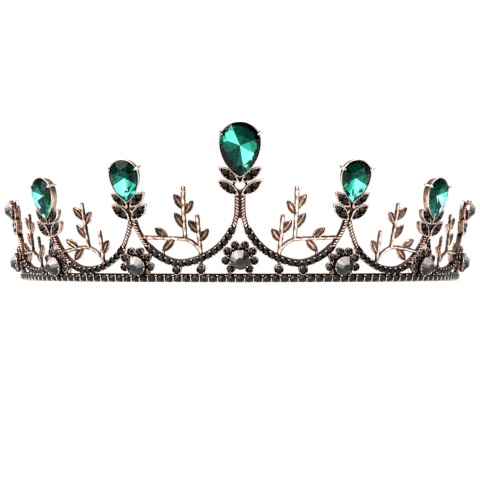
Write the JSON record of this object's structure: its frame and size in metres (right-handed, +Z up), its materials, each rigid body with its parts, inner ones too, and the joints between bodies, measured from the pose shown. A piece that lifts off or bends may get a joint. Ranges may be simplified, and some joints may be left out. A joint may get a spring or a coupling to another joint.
{
  "type": "bridal crown",
  "caption": "Open bridal crown in rose-gold metal with a stone-set band, pear-shaped green stones on raised peaks, round stone flowers, leafy twigs and a hairpin loop at each end.",
  "frame": {"origin": "centre of the footprint of the whole crown, on the surface that it stands on", "axes": "+X to the right along the crown's width, +Y from the front of the band back to its open ends, +Z up; the crown is mirrored about the plane X = 0"},
  "size_m": [0.1752, 0.1244, 0.0534],
  "materials": {
    "rose_gold": "antiqued rose-gold plating, polished on the high spots and dark in the recesses",
    "rose_gold_wire": "polished rose-gold plating",
    "green_glass": "faceted emerald-green glass with a foiled back",
    "dark_crystal": "faceted dark grey crystal with a mirror-like shine",
    "black_crystal": "faceted black crystal"
  },
  "bodies": {
    "root": {"frame": "rose_gold", "hair_loop_left": "rose_gold_wire", "hair_loop_right": "rose_gold_wire", "pear_stone_centre": "green_glass", "pear_stone_left": "green_glass", "pear_stone_right": "green_glass", "pear_stone_outer_left": "green_glass", "pear_stone_outer_right": "green_glass", "round_stone_centre": "dark_crystal", "round_stone_left": "dark_crystal", "round_stone_right": "dark_crystal", "round_stone_outer_left": "dark_crystal", "round_stone_outer_right": "dark_crystal", "round_stone_end_left": "dark_crystal", "round_stone_end_right": "dark_crystal", "top_stone_left": "dark_crystal", "top_stone_right": "dark_crystal", "band_stones": "black_crystal", "swag_stones": "black_crystal", "flower_stones": "black_crystal", "leaf_stones": "black_crystal", "strut_stones": "black_crystal"}
  },
  "joints": []
}
